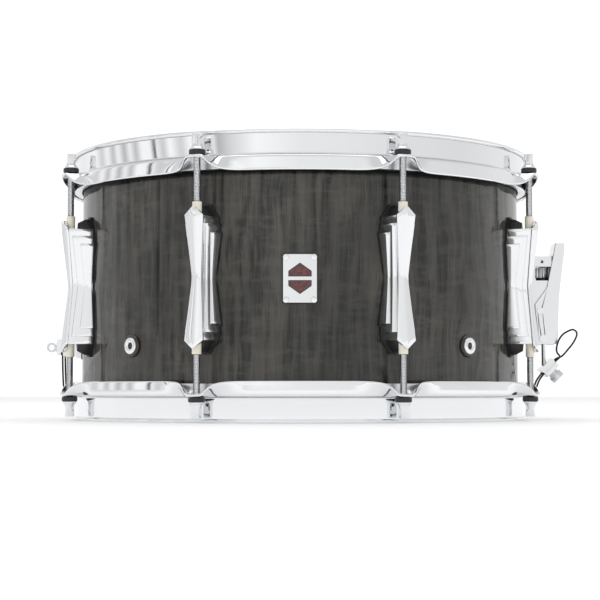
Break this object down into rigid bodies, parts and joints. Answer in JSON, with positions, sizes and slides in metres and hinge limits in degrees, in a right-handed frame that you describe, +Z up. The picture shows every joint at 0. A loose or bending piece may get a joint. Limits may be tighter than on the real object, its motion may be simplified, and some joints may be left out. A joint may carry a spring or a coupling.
{
  "type": "snare drum",
  "caption": "Wood-shell snare drum with chrome triple-flange hoops, waisted double-ended lugs, a side throw-off lever and snare wires under the bottom head.",
  "frame": {"origin": "centre of the bottom hoop's rim, on the drum's axis", "axes": "+Z up along the drum's axis, -Y towards the badge, +X towards the throw-off"},
  "size_m": [0.4346, 0.377, 0.2127],
  "materials": {
    "lacquered_veneer": "dark grey stained figured veneer under a deep gloss lacquer",
    "badge_metal": "satin silver plate",
    "badge_enamel": "dark red enamel",
    "bright_metal": "polished",
    "dark_ring": "dark brown, glossy",
    "coated_film": "white sprayed coating on film",
    "clear_film": "clear thin film",
    "flesh_aluminium": "extruded, satin",
    "hoop_chrome": "polished chrome plate",
    "black_nylon": "moulded",
    "ivory_nylon": "moulded",
    "lug_chrome": "polished chrome plate",
    "black_gasket": "thin moulded sheet",
    "plated_steel": "plated threaded steel",
    "strainer_chrome": "satin chrome plate",
    "strainer_satin": "bead-blasted, plated",
    "snare_steel": "drawn wire",
    "snare_plate": "pressed and plated",
    "black_cord": "braided cord"
  },
  "bodies": {
    "drum": {"shell": "lacquered_veneer", "badge_plate": "badge_metal", "badge_inlay": "badge_enamel", "badge_screws": "badge_metal", "vent_eyelets": "bright_metal", "vent_rings": "dark_ring", "batter_head": "coated_film", "batter_flesh_hoop": "flesh_aluminium", "snare_head": "clear_film", "snare_flesh_hoop": "flesh_aluminium", "top_hoop": "hoop_chrome", "bottom_hoop": "hoop_chrome", "rod_washers_top": "black_nylon", "rod_washers_bottom": "black_nylon", "lug_1": "lug_chrome", "lug_2": "lug_chrome", "lug_3": "lug_chrome", "lug_4": "lug_chrome", "lug_5": "lug_chrome", "lug_6": "lug_chrome", "lug_7": "lug_chrome", "lug_8": "lug_chrome", "lug_nuts_top": "ivory_nylon", "lug_nuts_bottom": "ivory_nylon", "lug_gaskets": "black_gasket", "lug_screws": "plated_steel", "mount_screws": "plated_steel", "throwoff_gasket": "black_gasket", "throwoff_body": "strainer_chrome", "butt_gasket": "black_gasket", "butt_body": "strainer_chrome", "butt_clamp_plate": "strainer_satin", "snare_cords_butt": "black_cord"},
    "lever": {"throwoff_lever": "strainer_chrome", "throwoff_pins": "plated_steel"},
    "snares": {"carriage": "strainer_satin", "throwoff_clamp_plate": "strainer_satin", "snare_end_plates": "snare_plate", "snare_wires": "snare_steel", "snare_cords_throwoff": "black_cord", "snare_cord_loop": "black_cord"},
    "clamp_knob": {"throwoff_clamp_knob": "strainer_satin"},
    "tension_knob": {"tension_knob": "strainer_satin"},
    "butt_screw": {"butt_clamp_screw": "strainer_satin"},
    "tension_rod_top_1": {"tension_rod_top_1": "plated_steel"},
    "tension_rod_top_2": {"tension_rod_top_2": "plated_steel"},
    "tension_rod_top_3": {"tension_rod_top_3": "plated_steel"},
    "tension_rod_top_4": {"tension_rod_top_4": "plated_steel"},
    "tension_rod_top_5": {"tension_rod_top_5": "plated_steel"},
    "tension_rod_top_6": {"tension_rod_top_6": "plated_steel"},
    "tension_rod_top_7": {"tension_rod_top_7": "plated_steel"},
    "tension_rod_top_8": {"tension_rod_top_8": "plated_steel"},
    "tension_rod_bottom_1": {"tension_rod_bottom_1": "plated_steel"},
    "tension_rod_bottom_2": {"tension_rod_bottom_2": "plated_steel"},
    "tension_rod_bottom_3": {"tension_rod_bottom_3": "plated_steel"},
    "tension_rod_bottom_4": {"tension_rod_bottom_4": "plated_steel"},
    "tension_rod_bottom_5": {"tension_rod_bottom_5": "plated_steel"},
    "tension_rod_bottom_6": {"tension_rod_bottom_6": "plated_steel"},
    "tension_rod_bottom_7": {"tension_rod_bottom_7": "plated_steel"},
    "tension_rod_bottom_8": {"tension_rod_bottom_8": "plated_steel"}
  },
  "joints": [
    {"name": "lever_throw", "type": "hinge", "parent": "drum", "child": "lever", "pos_m": [0.1988, 0, 0.0658], "axis": [0, 1, 0], "range_deg": [0, 90]},
    {"name": "carriage_slide", "type": "slide", "parent": "drum", "child": "snares", "axis": [0, 0, -1], "range_m": [0, 0.004]},
    {"name": "clamp_knob_turn", "type": "hinge", "parent": "snares", "child": "clamp_knob", "pos_m": [0.204, 0, 0.0424], "axis": [0.7071, 0, -0.7071], "continuous": true},
    {"name": "tension_knob_turn", "type": "hinge", "parent": "drum", "child": "tension_knob", "pos_m": [0.2, 0, 0.12], "axis": [0, 0, 1], "continuous": true},
    {"name": "butt_screw_turn", "type": "hinge", "parent": "drum", "child": "butt_screw", "pos_m": [-0.2, 0, 0.059], "axis": [-1, 0, 0], "continuous": true},
    {"name": "rod_turn_top_1", "type": "hinge", "parent": "drum", "child": "tension_rod_top_1", "pos_m": [0.17951, 0.07436, 0.195], "axis": [0, 0, 1], "continuous": true},
    {"name": "rod_turn_top_2", "type": "hinge", "parent": "drum", "child": "tension_rod_top_2", "pos_m": [0.07436, 0.17951, 0.195], "axis": [0, 0, 1], "continuous": true},
    {"name": "rod_turn_top_3", "type": "hinge", "parent": "drum", "child": "tension_rod_top_3", "pos_m": [-0.07436, 0.17951, 0.195], "axis": [0, 0, 1], "continuous": true},
    {"name": "rod_turn_top_4", "type": "hinge", "parent": "drum", "child": "tension_rod_top_4", "pos_m": [-0.17951, 0.07436, 0.195], "axis": [0, 0, 1], "continuous": true},
    {"name": "rod_turn_top_5", "type": "hinge", "parent": "drum", "child": "tension_rod_top_5", "pos_m": [-0.17951, -0.07436, 0.195], "axis": [0, 0, 1], "continuous": true},
    {"name": "rod_turn_top_6", "type": "hinge", "parent": "drum", "child": "tension_rod_top_6", "pos_m": [-0.07436, -0.17951, 0.195], "axis": [0, 0, 1], "continuous": true},
    {"name": "rod_turn_top_7", "type": "hinge", "parent": "drum", "child": "tension_rod_top_7", "pos_m": [0.07436, -0.17951, 0.195], "axis": [0, 0, 1], "continuous": true},
    {"name": "rod_turn_top_8", "type": "hinge", "parent": "drum", "child": "tension_rod_top_8", "pos_m": [0.17951, -0.07436, 0.195], "axis": [0, 0, 1], "continuous": true},
    {"name": "rod_turn_bottom_1", "type": "hinge", "parent": "drum", "child": "tension_rod_bottom_1", "pos_m": [0.17951, 0.07436, 0.0177], "axis": [0, 0, -1], "continuous": true},
    {"name": "rod_turn_bottom_2", "type": "hinge", "parent": "drum", "child": "tension_rod_bottom_2", "pos_m": [0.07436, 0.17951, 0.0177], "axis": [0, 0, -1], "continuous": true},
    {"name": "rod_turn_bottom_3", "type": "hinge", "parent": "drum", "child": "tension_rod_bottom_3", "pos_m": [-0.07436, 0.17951, 0.0177], "axis": [0, 0, -1], "continuous": true},
    {"name": "rod_turn_bottom_4", "type": "hinge", "parent": "drum", "child": "tension_rod_bottom_4", "pos_m": [-0.17951, 0.07436, 0.0177], "axis": [0, 0, -1], "continuous": true},
    {"name": "rod_turn_bottom_5", "type": "hinge", "parent": "drum", "child": "tension_rod_bottom_5", "pos_m": [-0.17951, -0.07436, 0.0177], "axis": [0, 0, -1], "continuous": true},
    {"name": "rod_turn_bottom_6", "type": "hinge", "parent": "drum", "child": "tension_rod_bottom_6", "pos_m": [-0.07436, -0.17951, 0.0177], "axis": [0, 0, -1], "continuous": true},
    {"name": "rod_turn_bottom_7", "type": "hinge", "parent": "drum", "child": "tension_rod_bottom_7", "pos_m": [0.07436, -0.17951, 0.0177], "axis": [0, 0, -1], "continuous": true},
    {"name": "rod_turn_bottom_8", "type": "hinge", "parent": "drum", "child": "tension_rod_bottom_8", "pos_m": [0.17951, -0.07436, 0.0177], "axis": [0, 0, -1], "continuous": true}
  ],
  "couplings": [
    {"joint": "carriage_slide", "follows": "lever_throw", "m_per_rad": 0.0025465}
  ]
}
